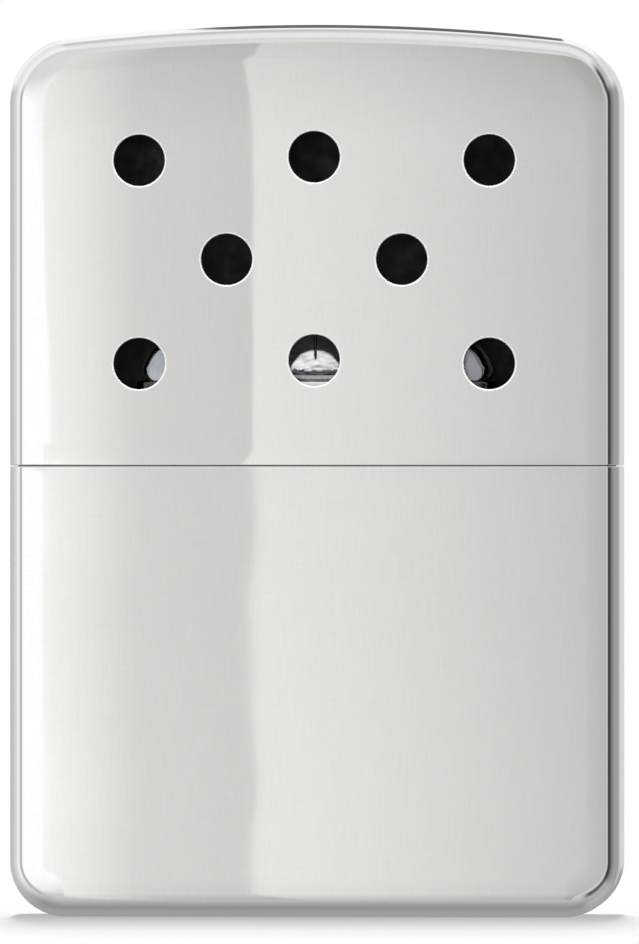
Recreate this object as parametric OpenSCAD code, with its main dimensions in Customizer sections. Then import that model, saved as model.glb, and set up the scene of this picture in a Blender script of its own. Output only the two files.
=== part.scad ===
// Catalytic hand warmer, upright on its base.
// +X is the width, the vented front faces -Y, +Z is up, and the origin is the middle of the base.
// The tank and the cover are one closed form, parted at the seam at height tank_h.

/* [Case] */
// Width of the case
case_w = 50.8; // [46:0.1:60]
// Depth of the case, front to back
case_d = 12.7; // [12.5:0.1:18]
// Height of the tank, from the base to the seam
tank_h = 37.5; // [28:0.5:60]
// Height of the cover, from the seam to its crown
cover_h = 36.7; // [32:0.1:60]
// Radius of the four corners seen from the front
corner_r = 4.6; // [3:0.1:7]
// Rise of the crowned top above its two ends
crown_rise = 1.1; // [0.2:0.1:2.5]
// Rounding of every edge of the case
edge_r = 1.3; // [0.9:0.1:2]
// Thickness of the drawn sheet of the case
case_sheet = 0.5; // [0.3:0.05:0.6]
// Gap that the rolled edges leave at the seam
seam_gap = 0.06; // [0.02:0.01:0.2]

/* [Vents] */
// Diameter of a vent
vent_d = 4.25; // [2:0.05:6]
// Distance between neighbouring vents of a row
vent_pitch_x = 14.57; // [8:0.1:18]
// Distance between rows
vent_pitch_z = 8.45; // [6.5:0.05:10]
// Height of the middle of the lowest row above the seam
vent_seam_z = 8.8; // [4:0.1:12]
// Drop of each row from its middle to the vents of the outer columns
vent_drop = 0.28; // [0:0.01:0.6]
// Vents in each row, from the lowest row up
vent_rows = [3, 2, 3];

/* [Collar] */
// Height of the collar above the seam
collar_h = 4.8; // [3.5:0.1:7]
// Depth of the collar inside the tank
collar_sink = 4; // [2:0.5:8]
// Thickness of the collar's sheet
collar_sheet = 0.4; // [0.3:0.05:0.6]
// Gap between the collar and the cover that slides over it
cover_gap = 0.2; // [0.12:0.01:0.3]
// Gap between the collar and the tank that it is set in
collar_gap = 0.04; // [0.02:0.01:0.1]
// Bevel round the collar's deck
deck_bevel = 0.6; // [0.3:0.1:1.2]
// Diameter of a detent bump on the collar
detent_d = 1.8; // [1:0.1:2.4]
// How far a detent bump stands proud
detent_proud = 0.12; // [0.05:0.01:0.16]
// Distance between the two detent bumps of a side
detent_pitch = 30; // [15:1:34]

/* [Neck] */
// Width of the oval neck
neck_w = 22; // [16:0.5:24]
// Depth of the oval neck, front to back
neck_d = 6.6; // [6:0.1:7.2]
// Thickness of the neck's sheet
neck_sheet = 0.4; // [0.3:0.05:0.6]
// Height of the neck above the collar's deck
neck_rise = 1.8; // [1:0.1:1.9]
// Length of the neck below the collar's deck
neck_drop = 3.6; // [2.5:0.1:4]
// Width of the lip that seats the neck under the deck
neck_lip = 1; // [0.5:0.1:1.5]
// Thickness of the felt in the neck
felt_t = 1.2; // [0.8:0.1:1.6]

/* [Burner] */
// Width of the burner over its rim
burner_w = 29.3; // [27:0.1:32]
// Depth of the burner, front to back
burner_d = 9.2; // [8.6:0.1:9.4]
// Height of the burner housing above its base
burner_h = 6; // [5.5:0.1:9]
// Width of the elliptical shoulders of the housing
shoulder_rx = 9.5; // [6:0.5:11]
// Height of the elliptical shoulders of the housing
shoulder_rz = 5.4; // [4:0.1:5.4]
// Rounding of the front and rear edges of the housing
burner_edge = 0.5; // [0.4:0.1:1]
// Thickness of the burner's sheet
burner_sheet = 0.3; // [0.2:0.05:0.35]
// Width of the rim that wraps the two halves together
rim_w = 0.25; // [0.2:0.01:0.4]
// Depth of that rim, front to back
rim_d = 1.6; // [1:0.1:2.4]
// Gap between burner pieces that fit together
burner_gap = 0.04; // [0.02:0.01:0.08]
// Height of the base skirt
base_h = 2.25; // [1.95:0.05:3]
// How far the base skirt stands out round the housing
base_step = 0.25; // [0.2:0.05:0.35]
// Running gap between the base socket and the neck
neck_gap = 0.06; // [0.03:0.01:0.1]
// Gap under the seated base
seat_gap = 0.05; // [0.02:0.01:0.1]

/* [Window and mat] */
// Height of the lip below the window
window_lip = 0.45; // [0.3:0.05:1]
// Margin of the housing at the sides of the window
window_side = 3.2; // [2.4:0.1:4]
// Margin of the housing above the window
window_top = 1.5; // [1.2:0.1:2]
// Thickness of the folded catalyst mat
mat_t = 1.2; // [0.8:0.1:1.5]
// Gap between the mat and the housing, for the wires
mat_gap = 0.3; // [0.26:0.01:0.4]
// Diameter of the wire that holds the mat
wire_d = 0.22; // [0.15:0.01:0.24]
// Distance between the wire's tines
tine_pitch = 6.4; // [4:0.1:7]
// Length of a tine below the window's upper edge
tine_drop = 2.3; // [1:0.1:2.8]
// Thickness of the perforated core's sheet
core_sheet = 0.3; // [0.2:0.05:0.4]
// Diameter of the core's perforations
core_hole_d = 1.2; // [0.8:0.1:1.4]
// Distance between the core's perforations
core_pitch = 2; // [1.8:0.1:3]
// Rows of perforations
core_rows = 2; // [1:1:2]

/* [Wadding] */
// Gap round each cotton wad
wad_gap = 0.25; // [0.1:0.05:0.3]

/* [Hidden] */

HULL_FN = 48;       // sides of a whole corner in the drawn case
EDGE_STEPS = 6;     // steps of a quarter of an edge rounding
OUTLINE_STEPS = 10; // steps of a quarter of a flat outline
CROWN_STEPS = 4;    // stations of the crown on each side
over = 1;           // how far a cut runs past what it cuts
least_edge = 0.15;  // smallest rounding left when a form is taken in

total_h = tank_h + cover_h;
corner_x = case_w / 2 - corner_r;

// Collar
deck_top = tank_h + collar_h;
deck_under = deck_top - collar_sheet;
collar_foot = tank_h - collar_sink;

// Neck and felt
neck_top = deck_top + neck_rise;
neck_foot = deck_under - neck_drop;
wad_top = neck_foot - wad_gap;
felt_foot = neck_foot;
wad_middle = (case_sheet + wad_top) / 2;

// Burner
base_foot = deck_top + seat_gap;
base_top = base_foot + base_h;
housing_w = burner_w - 2 * rim_w;
housing_h = burner_h - rim_w;
housing_y = burner_d / 2;
window_w = housing_w - 2 * window_side;
window_h = housing_h - window_lip - window_top;
window_top_z = base_top + window_lip + window_h;
mat_y = housing_y - burner_sheet - mat_gap;
mat_edge = burner_edge - sqrt(pow(burner_edge, 2) - pow(burner_edge - mat_gap, 2));
mat_inset = burner_sheet + burner_gap + mat_edge;
core_y = mat_y - mat_t;
core_inset = mat_inset + mat_t;
core_w = housing_w - 2 * core_inset;
wire_y = housing_y - burner_sheet - mat_gap / 2;
wire_bar_z = window_top_z + window_top / 3;

// Points of an elliptical arc from angle a0 to angle a1.
function arc(cx, cy, rx, ry, a0, a1, steps) =
    [for (i = [0:steps])
        let (a = a0 + (a1 - a0) * i / steps)
        [cx + rx * cos(a), cy + ry * sin(a)]];

// Rectangle of w by d about the origin, with its corners rounded to r.
function round_rect(w, d, r) = concat(
    arc(w / 2 - r, d / 2 - r, r, r, 0, 90, OUTLINE_STEPS),
    arc(-w / 2 + r, d / 2 - r, r, r, 90, 180, OUTLINE_STEPS),
    arc(-w / 2 + r, -d / 2 + r, r, r, 180, 270, OUTLINE_STEPS),
    arc(w / 2 - r, -d / 2 + r, r, r, 270, 360, OUTLINE_STEPS));

// Oval of w by d about the origin, with half-round ends.
function oval(w, d) = concat(
    arc(w / 2 - d / 2, 0, d / 2, d / 2, -90, 90, 2 * OUTLINE_STEPS),
    arc(-w / 2 + d / 2, 0, d / 2, d / 2, 90, 270, 2 * OUTLINE_STEPS));

// Loaf outline, w wide, from a flat foot below the X axis up to h, with elliptical shoulders of rx by rz.
function loaf(w, h, rx, rz, foot = 0) = concat(
    [[-w / 2, -foot], [w / 2, -foot]],
    arc(w / 2 - rx, h - rz, rx, rz, 0, 90, OUTLINE_STEPS),
    arc(-w / 2 + rx, h - rz, rx, rz, 90, 180, OUTLINE_STEPS));

// Stands a flat outline up in the X-Z plane and gives it the depth from y0 to y1.
module upright(y0, y1) {
    translate([0, y1, 0])
        rotate([90, 0, 0])
            linear_extrude(y1 - y0)
                children();
}

// Puts its children at the left and at the right.
module both_sides(x) {
    for (side = [-1, 1])
        translate([side * x, 0, 0])
            children();
}

// Round puck on a front-to-back axis, with both rims rounded to edge.
module puck(r, depth, edge) {
    rotate([90, 0, 0])
        rotate_extrude($fn = HULL_FN)
            polygon(concat(
                [[0, -depth / 2]],
                arc(r - edge, -depth / 2 + edge, edge, edge, -90, 0, EDGE_STEPS),
                arc(r - edge, depth / 2 - edge, edge, edge, 0, 90, EDGE_STEPS),
                [[0, depth / 2]]));
}

// Whole closed case, taken in by inset on every face.
module case_form(inset) {
    hull() {
        both_sides(corner_x)
            translate([0, 0, corner_r])
                case_puck(inset);
        for (i = [-CROWN_STEPS:CROWN_STEPS])
            let (t = i / CROWN_STEPS)
            translate([t * corner_x, 0, total_h - corner_r - crown_rise * t * t])
                case_puck(inset);
    }
}

module case_puck(inset) {
    puck(corner_r - inset, case_d - 2 * inset, max(edge_r - inset, least_edge));
}

// Slab that holds everything between two heights.
module height_band(z0, z1) {
    translate([-case_w, -case_d, z0])
        cube([2 * case_w, 2 * case_d, z1 - z0]);
}

// Eight vents, in rows that are centred on the front and bend with the crown.
module vents() {
    for (row = [0:len(vent_rows) - 1])
        for (i = [0:vent_rows[row] - 1])
            let (column = i - (vent_rows[row] - 1) / 2)
            translate([
                column * vent_pitch_x,
                -case_d / 2 + case_sheet + over,
                tank_h + vent_seam_z + row * vent_pitch_z - vent_drop * column * column])
                rotate([90, 0, 0])
                    cylinder(d = vent_d, h = case_sheet + 2 * over, $fn = 48);
}

module cover_shell() {
    color("silver")
        difference() {
            intersection() {
                case_form(0);
                height_band(tank_h + seam_gap, total_h + over);
            }
            case_form(case_sheet);
            vents();
        }
}

module tank_shell() {
    color("silver")
        difference() {
            intersection() {
                case_form(0);
                height_band(-over, tank_h);
            }
            case_form(case_sheet);
        }
}

// Outline of the case taken in by inset, at any height between its corners.
module case_section(inset) {
    polygon(round_rect(case_w - 2 * inset, case_d - 2 * inset, max(edge_r - inset, least_edge)));
}

// Block from height z0 to height z1, with a bevel round its top.
module bevelled_block(inset, z0, z1) {
    translate([0, 0, z0])
        hull() {
            linear_extrude(z1 - z0 - deck_bevel)
                case_section(inset);
            linear_extrude(z1 - z0)
                case_section(inset + deck_bevel);
        }
}

module tank_collar() {
    foot_inset = case_sheet + collar_gap;
    upper_inset = case_sheet + cover_gap;
    color("gainsboro") {
        difference() {
            union() {
                translate([0, 0, collar_foot])
                    linear_extrude(collar_sink)
                        case_section(foot_inset);
                bevelled_block(upper_inset, tank_h - collar_sheet, deck_top);
            }
            bevelled_block(upper_inset + collar_sheet, collar_foot - over, deck_under);
            translate([0, 0, collar_foot])
                linear_extrude(deck_top - collar_foot + over)
                    polygon(oval(neck_w + 2 * collar_gap, neck_d + 2 * collar_gap));
        }
        detents(upper_inset);
    }
}

// Four shallow bumps on the front and the rear of the collar, which grip the cover.
module detents(inset) {
    face_y = case_d / 2 - inset;
    bump_r = (detent_d * detent_d / 4 + detent_proud * detent_proud) / (2 * detent_proud);
    for (face = [-1, 1])
        both_sides(detent_pitch / 2)
            translate([0, face * face_y, (tank_h + deck_top - deck_bevel) / 2])
                rotate([-face * 90, 0, 0])
                    intersection() {
                        translate([0, 0, detent_proud - bump_r])
                            sphere(bump_r, $fn = 64);
                        translate([0, 0, -collar_sheet / 2])
                            cylinder(d = detent_d, h = collar_sheet, $fn = 32);
                    }
}

module filler_neck() {
    color("silver")
        difference() {
            union() {
                translate([0, 0, neck_foot])
                    linear_extrude(neck_top - neck_foot)
                        polygon(oval(neck_w, neck_d));
                translate([0, 0, deck_under - neck_sheet])
                    linear_extrude(neck_sheet)
                        polygon(oval(neck_w + 2 * neck_lip, neck_d + 2 * neck_lip));
            }
            translate([0, 0, neck_foot - over])
                linear_extrude(neck_top - neck_foot + 2 * over)
                    polygon(oval(neck_w - 2 * neck_sheet, neck_d - 2 * neck_sheet));
        }
}

module wick_felt() {
    inset = neck_sheet + burner_gap;
    color("ivory")
        translate([0, 0, felt_foot])
            linear_extrude(felt_t)
                polygon(oval(neck_w - 2 * inset, neck_d - 2 * inset));
}

// One of the four cotton wads, which share the space inside the tank.
module wad(side, z0, z1, inset) {
    color("white")
        intersection() {
            case_form(inset);
            translate([side > 0 ? wad_gap / 2 : -case_w, -case_d, z0])
                cube([case_w - wad_gap / 2, 2 * case_d, z1 - z0]);
        }
}

module lower_wad(side) {
    wad(side, 0, wad_middle - wad_gap / 2, case_sheet + wad_gap);
}

module upper_wad(side) {
    wad(side, wad_middle + wad_gap / 2, wad_top,
        case_sheet + cover_gap + collar_sheet + wad_gap / 2);
}

module wadding_lower_left() {
    lower_wad(-1);
}

module wadding_lower_right() {
    lower_wad(1);
}

module wadding_upper_left() {
    upper_wad(-1);
}

module wadding_upper_right() {
    upper_wad(1);
}

// Outline of the burner's foot, let out by step round the housing.
module burner_section(step) {
    polygon(round_rect(housing_w + 2 * step, burner_d + 2 * step, max(burner_edge + step, least_edge)));
}

// Tray with a skirt outside and a socket for the neck inside.
module burner_base() {
    skirt_step = rim_w + base_step;
    socket_w = neck_w + 2 * neck_gap;
    socket_d = neck_d + 2 * neck_gap;
    color("silver")
        translate([0, 0, base_foot])
            difference() {
                linear_extrude(base_h)
                    burner_section(skirt_step);
                translate([0, 0, -over])
                    linear_extrude(base_h - burner_sheet + over)
                        difference() {
                            burner_section(skirt_step - burner_sheet);
                            polygon(oval(socket_w + 2 * burner_sheet, socket_d + 2 * burner_sheet));
                        }
                translate([0, 0, -over])
                    linear_extrude(base_h + 2 * over)
                        polygon(oval(socket_w, socket_d));
            }
}

// Half of the housing's form, taken in by inset, from y0 to its rounded face.
module housing_form(inset, y0, foot) {
    hull()
        for (i = [0:EDGE_STEPS])
            let (a = 90 * i / EDGE_STEPS, take_in = inset + burner_edge * (1 - cos(a)))
            upright(y0, housing_y - inset - burner_edge * (1 - sin(a)))
                polygon(loaf(
                    housing_w - 2 * take_in,
                    housing_h - take_in,
                    shoulder_rx - take_in,
                    shoulder_rz - take_in,
                    foot));
}

// Window through the face of one half.
module window_cut() {
    take_in = (window_side + window_top) / 2;
    translate([0, 0, window_lip])
        upright(housing_y - burner_sheet - over, housing_y + over)
            polygon(loaf(
                window_w, window_h,
                shoulder_rx - take_in, min(shoulder_rz - take_in, window_h - least_edge)));
}

// What is cut from a half: the space inside it, open underneath and at the parting, and its window.
module housing_cuts() {
    housing_form(burner_sheet, -over, over);
    window_cut();
}

module burner_front_shell() {
    color("lightgrey")
        translate([0, 0, base_top])
            mirror([0, 1, 0])
                difference() {
                    housing_form(0, 0, 0);
                    housing_cuts();
                }
}

// The rear half's rim runs forward past the parting and wraps the front half.
module burner_rear_shell() {
    color("lightgrey")
        translate([0, 0, base_top])
            difference() {
                union() {
                    housing_form(0, 0, 0);
                    upright(-rim_d / 2, rim_d / 2)
                        polygon(loaf(burner_w, burner_h, shoulder_rx + rim_w, shoulder_rz + rim_w));
                }
                upright(-rim_d / 2 - over, 0)
                    polygon(loaf(
                        housing_w + 2 * burner_gap, housing_h + burner_gap,
                        shoulder_rx + burner_gap, shoulder_rz + burner_gap, over));
                housing_cuts();
            }
}

// Outline of what fills the housing, taken in by inset on its sides and top.
module filling(inset, foot) {
    polygon(loaf(
        housing_w - 2 * inset, housing_h - inset,
        shoulder_rx - inset, shoulder_rz - inset, foot));
}

// Mat folded over the core, pressed against both windows.
module catalyst_mat() {
    color("whitesmoke")
        translate([0, 0, base_top])
            difference() {
                upright(-mat_y, mat_y)
                    filling(mat_inset, 0);
                upright(-core_y, core_y)
                    filling(core_inset, over);
            }
}

// Perforated channel inside the mat.
module mat_core_mesh() {
    color("darkgrey")
        translate([0, 0, base_top])
            difference() {
                upright(-core_y + burner_gap, core_y - burner_gap)
                    filling(core_inset + burner_gap, 0);
                upright(-core_y + burner_gap + core_sheet, core_y - burner_gap - core_sheet)
                    filling(core_inset + burner_gap + core_sheet, over);
                core_holes();
            }
}

// Rows of perforations through the front and the rear of the core.
module core_holes() {
    across = floor((core_w - shoulder_rx) / 2 / core_pitch);
    for (row = [0:core_rows - 1])
        for (i = [-across:across])
            translate([i * core_pitch, mat_y, core_pitch * (row + 0.5)])
                rotate([90, 0, 0])
                    cylinder(d = core_hole_d, h = 2 * mat_y, $fn = 24);
}

// Wire behind the window's upper edge, with three tines that hang over the mat.
module mat_wire(face) {
    color("dimgray")
        translate([0, face * wire_y, 0]) {
            translate([0, 0, wire_bar_z])
                rotate([0, 90, 0])
                    cylinder(d = wire_d, h = 2 * tine_pitch + wire_d, center = true, $fn = 24);
            for (i = [-1:1])
                translate([i * tine_pitch, 0, window_top_z - tine_drop])
                    cylinder(d = wire_d, h = wire_bar_z - window_top_z + tine_drop, $fn = 24);
        }
}

module front_mat_wire() {
    mat_wire(-1);
}

module rear_mat_wire() {
    mat_wire(1);
}

cover_shell();
tank_shell();
tank_collar();
filler_neck();
wick_felt();
wadding_lower_left();
wadding_lower_right();
wadding_upper_left();
wadding_upper_right();
burner_base();
burner_front_shell();
burner_rear_shell();
catalyst_mat();
mat_core_mesh();
front_mat_wire();
rear_mat_wire();
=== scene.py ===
"""Looks of the catalytic hand warmer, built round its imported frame.

Blender works in metres. The lengths below are in millimetres and are scaled by MM where a mesh is made.
+X is the width, the vented front faces -Y and +Z is up.
"""
from math import asin, atan, atan2, copysign, cos, degrees, pi, radians, sin, sqrt

import bmesh
import bpy
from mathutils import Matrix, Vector, geometry, noise

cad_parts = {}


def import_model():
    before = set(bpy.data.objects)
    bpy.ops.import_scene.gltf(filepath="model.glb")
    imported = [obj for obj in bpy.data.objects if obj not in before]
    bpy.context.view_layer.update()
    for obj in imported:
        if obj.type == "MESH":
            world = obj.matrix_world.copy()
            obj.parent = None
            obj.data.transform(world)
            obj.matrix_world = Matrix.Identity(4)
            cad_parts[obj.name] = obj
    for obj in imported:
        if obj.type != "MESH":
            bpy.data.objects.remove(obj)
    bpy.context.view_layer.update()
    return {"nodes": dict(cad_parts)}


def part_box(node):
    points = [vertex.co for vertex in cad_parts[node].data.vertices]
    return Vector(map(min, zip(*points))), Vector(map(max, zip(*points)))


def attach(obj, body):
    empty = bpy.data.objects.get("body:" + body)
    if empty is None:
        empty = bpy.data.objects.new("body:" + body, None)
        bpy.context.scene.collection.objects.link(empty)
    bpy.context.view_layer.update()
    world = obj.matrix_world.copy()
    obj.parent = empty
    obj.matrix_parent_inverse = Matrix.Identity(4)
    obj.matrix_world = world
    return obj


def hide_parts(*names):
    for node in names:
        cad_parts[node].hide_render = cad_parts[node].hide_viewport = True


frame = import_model()

MM = 0.001


def box_mm(node):
    """Lowest and highest corner of a CAD node, in millimetres."""
    low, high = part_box(node)
    return low / MM, high / MM


# ---- sizes, from the frame
COVER_LOW, COVER_HIGH = box_mm("cover_shell")
COLLAR_LOW, COLLAR_HIGH = box_mm("tank_collar")
NECK_LOW, NECK_HIGH = box_mm("filler_neck")
BASE_LOW, BASE_HIGH = box_mm("burner_base")
FRONT_LOW, FRONT_HIGH = box_mm("burner_front_shell")
FELT_LOW, FELT_HIGH = box_mm("wick_felt")
HALF_W, HALF_D, TOP = COVER_HIGH
SEAM_LOW = box_mm("tank_shell")[1].z
SEAM_HIGH = COVER_LOW.z
HOUSING_FOOT = FRONT_LOW.z
HOUSING_W = FRONT_HIGH.x
HOUSING_H = FRONT_HIGH.z - FRONT_LOW.z
HOUSING_Y = box_mm("burner_rear_shell")[1].y
MAT_Y = box_mm("catalyst_mat")[1].y

# ---- sizes that the frame's boxes don't give
TOP_CORNER_R = 5.5  # corners of the case, seen from the front
FOOT_CORNER_R = 4.6
CROWN_RISE = 1.1
EDGE_R = 1.25  # rounding between the faces and the sides
FOOT_R = 2.0  # rounding under the tank
LEAN_W = 1.6  # width of the stretch along a face's edge where it starts to bend
LEAN = radians(3)  # how far it has bent where the rounding starts
FACE_REACH = HALF_W - EDGE_R - LEAN_W
CASE_SHEET = 0.5
LIP_H = 2.0  # height of the stretch above and below the seam that curls in a little
LIP_CURL = 0.02  # how far it curls in
SEAM_ROLL = 0.1  # rounding of the sheet's edge at the seam
INNER_ROLL = 0.1  # rounding of the sheet's inner edge

VENT_R = 2.125
VENT_ROLL = 0.15  # rounding that the punch left round a vent
VENT_INNER_ROLL = 0.06
VENT_PITCH_X = 14.57
VENT_PITCH_Z = 8.45
VENT_SEAM_Z = 8.8
VENT_DROP = 0.28  # of the outer columns below the middle of a row
VENT_ROWS = (3, 2, 3)

COLLAR_SHEET = 0.4
COLLAR_FIT = 0.2  # between the collar and the cover
DECK_BEVEL = 0.6
DECK_HOLE_X = 9.0  # how far in from the collar's foot its deck is drawn to the oval hole
DETENT_R = 0.9
DETENT_PROUD = 0.12
DETENT_ROOT = 0.1  # how deep a bump's skirt stands in the collar
DETENT_X = 15.0
DETENT_POINTS = 24
NECK_SHEET = 0.4
NECK_LIP = 1.0
NECK_W, NECK_D = NECK_HIGH.x - NECK_LIP, NECK_HIGH.y - NECK_LIP
NECK_FIT = 0.04
BURNER_SHEET = 0.3
BURNER_EDGE = 0.7  # rounding of the burner housing's front and rear edges
RIM_W = 0.25
CURL_R = 1.1  # rounding of the housing's lower corners
SHOULDER_RX = 9.5
SHOULDER_RZ = 5.4
WINDOW_SIDE = 3.2
WINDOW_TOP = 1.5
WINDOW_LIP = 0.45
FOOT_LIFT = 0.13  # slit between the tray and the front of the housing
MAT_T = 1.2
MAT_INSET = 0.45  # of the mat from the housing's outline
MAT_FOLD_R = 1.1
PAINTED_SHADE_H = 0.46  # height of the painted shade along the mat's foot above the window's lip
SOCKET_GAP = 0.06

# ---- fineness of the meshes
EDGE_STEPS = 10
FACE_COLUMNS = 34
LIP_STEPS = 8
VENT_STEPS = 6
VENT_POINTS = 72
RING_POINTS = 120
PLATE_GRID = 1.45  # mm between the points inside a flat face
VENT_CLEAR = 0.6  # mm that the grid keeps from a vent
EDGE_CLEAR = 0.7  # mm that it keeps from the face's edge


# ---- mesh building
def spread(start, end, steps):
    return [start + (end - start) * i / steps for i in range(steps + 1)]


def arc_angles(steps, start=0.0, end=pi / 2):
    return spread(start, end, steps)


def turns(count):
    return [2 * pi * k / count for k in range(count)]


def added(name, data):
    """A new object in the scene."""
    made = bpy.data.objects.new(name, data)
    bpy.context.scene.collection.objects.link(made)
    return made


def edited(mesh, change):
    """Makes a change to a mesh as a bmesh."""
    bm = bmesh.new()
    bm.from_mesh(mesh)
    change(bm)
    bm.to_mesh(mesh)
    bm.free()
    mesh.update()


class Skin:
    """Points, some with their own normals, and faces between them, all in millimetres."""

    def __init__(self):
        self.points, self.normals, self.faces, self.finish = [], [], [], []

    def point(self, where, normal=(0, 0, 1)):
        self.points.append(Vector(where))
        self.normals.append(Vector(normal).normalized())
        return len(self.points) - 1

    def row(self, pairs):
        return [self.point(where, normal) for where, normal in pairs]

    def plain_row(self, points):
        return [self.point(p) for p in points]

    def from_front(self, ids):
        """Where points lie in a view along the depth."""
        return [Vector((self.points[i].x, self.points[i].z)) for i in ids]

    def face(self, corners, finish=0):
        if len(set(corners)) > 2:
            self.faces.append(list(dict.fromkeys(corners)))
            self.finish.append(finish)

    def band(self, a, b, finish=0, closed=False):
        """Faces between two rows of the same length."""
        last = len(a) if closed else len(a) - 1
        for i in range(last):
            j = (i + 1) % len(a)
            self.face([a[i], a[j], b[j], b[i]], finish)

    def loft(self, rows, finish=0, closed=False, capped=False):
        """Faces between each row and the next and, for a capped one, over the first and the last row."""
        for a, b in zip(rows, rows[1:]):
            self.band(a, b, finish, closed)
        if capped:
            self.face(rows[0])
            self.face(rows[-1])

    def build(self, name, materials, own_normals=False):
        mesh = bpy.data.meshes.new(name)
        mesh.from_pydata([p * MM for p in self.points], [], self.faces)
        mesh.polygons.foreach_set("material_index", self.finish)
        mesh.polygons.foreach_set("use_smooth", [True] * len(self.faces))
        for material in materials:
            mesh.materials.append(material)
        edited(mesh, lambda bm: bmesh.ops.recalc_face_normals(bm, faces=bm.faces))
        if own_normals:
            custom = mesh.attributes.new("custom_normal", "FLOAT_VECTOR", "POINT")
            custom.data.foreach_set("vector", [c for n in self.normals for c in n])
            mesh.update()
        return added(name, mesh)


def loop_joins(start, count):
    """Edges of a closed loop of points."""
    return [(start + i, start + (i + 1) % count) for i in range(count)]


def triangles(flat, joins, count):
    """Fills the loop of the first count points, keeping to the joins. Gives the corners' places in flat."""
    _, _, faces, origin, _, _ = geometry.delaunay_2d_cdt(flat, joins, [list(range(count))], 1, 1e-6)
    return [[origin[c][0] for c in corners] for corners in faces]


# ---- the case
OUTSIDE, INSIDE, RIM = range(3)  # places of its materials


def depth_profile(inset, radius):
    """Across the case from its front to its rear: distance in from the outline, y, and the normal's two parts."""
    r = radius - inset
    depth = HALF_D - inset
    front = []
    for share in spread(0, 1, 4)[:-1]:
        lean = LEAN * share ** 1.5
        front.append((radius + LEAN_W * (1 - share), -depth, sin(lean), -cos(lean)))
    for a in arc_angles(EDGE_STEPS):
        lean = LEAN + a * (1 - LEAN / (pi / 2))
        front.append((inset + r * (1 - sin(a)), -depth + r * (1 - cos(a)), sin(lean), -cos(lean)))
    rear = [(d, -y, side, -face) for d, y, side, face in reversed(front)]
    middle = [(inset, y, 1.0, 0.0) for y in spread(front[-1][1], rear[0][1], 4)[1:-1]]
    return front + middle + rear


def waviness(x, z):
    """Sideways lean of a drawn face at a height, in radians. It is too slight to see but in a reflection."""
    across = x + 13.5
    if z > (SEAM_LOW + SEAM_HIGH) / 2:
        near_seam = max(0.0, 1 - (z - SEAM_HIGH) / 1.7) ** 2
        near_crown = 0.5 + 0.5 * cos(pi * min(1.0, (TOP - z) / 9.0))
        near_side = 0.00014 * min(0.0, across) * min(1.0, max(0.0, (60 - z) / 20))
        return (0.00022 * near_seam + 0.00023 * near_crown) * across + near_side + 0.00006 * sin(z * 0.5)
    below = SEAM_LOW - z
    near_seam = max(0.0, 1 - below / 0.8) ** 2
    ripple = 0.0004 * sin(below * 0.26 + 4.3) + 0.00018 * sin(below * 0.61 + 1.0)
    return 0.0001 * near_seam * across + ripple


class CaseHalf:
    """The cover (sign 1, upwards from the seam) or the tank (sign -1, downwards from it)."""

    def __init__(self, sign, seam_z, end_z, corner_r, rise, end_radius):
        self.sign, self.seam_z, self.corner_r = sign, seam_z, corner_r
        self.rise, self.end_radius = rise, end_radius
        self.corner_x = HALF_W - corner_r
        self.corner_h = abs(end_z - seam_z) - corner_r - rise

    def z(self, height):
        return self.seam_z + self.sign * height

    def stations(self):
        """Centre and outward direction along the outline, from the right of the lip over the end to its left."""
        end = []
        for t in spread(1, 0, 18):
            out = Vector((2 * self.rise * t / self.corner_x, 1)).normalized()
            end.append(((self.corner_x * t, self.corner_h + self.rise * (1 - t * t)), out))
        last = atan2(end[0][1].y, end[0][1].x)
        side = [((self.corner_x, h), Vector((1, 0))) for h in spread(LIP_H, self.corner_h, 14)]
        turn = arc_angles(18, 0, last)[1:-1]
        corner = [((self.corner_x, self.corner_h), Vector((cos(a), sin(a)))) for a in turn]
        right = side + corner + end
        return right + [((-x, h), Vector((-n.x, n.y))) for (x, h), n in reversed(right[:-1])]

    def radius(self, out):
        """Rounding between face and side, which changes from the sides to the end."""
        share = max(0.0, out.y) ** 2
        return EDGE_R + (self.end_radius - EDGE_R) * share

    def surface(self, skin, inset, flip, finish):
        """One side of the sheet beyond the lip, as rows from its front to its rear."""
        grid = []
        for (x, h), out in self.stations():
            row = []
            for d, y, side, face in depth_profile(inset, self.radius(out)):
                reach = self.corner_r - d
                where = (x + out.x * reach, y, self.z(h + out.y * reach))
                row.append((where, Vector((out.x * side, face, self.sign * out.y * side)) * flip))
            grid.append(skin.row(row))
        skin.loft(grid, finish)
        return grid

    def lip_line(self, skin, face_y, flip):
        """Points of the lip's upper end between the two roundings, from left to right."""
        z = self.z(LIP_H)
        xs = spread(-FACE_REACH, FACE_REACH, FACE_COLUMNS)[1:-1]
        return skin.row([((x, face_y, z), (waviness(x, z), copysign(flip, face_y), 0)) for x in xs])


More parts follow.
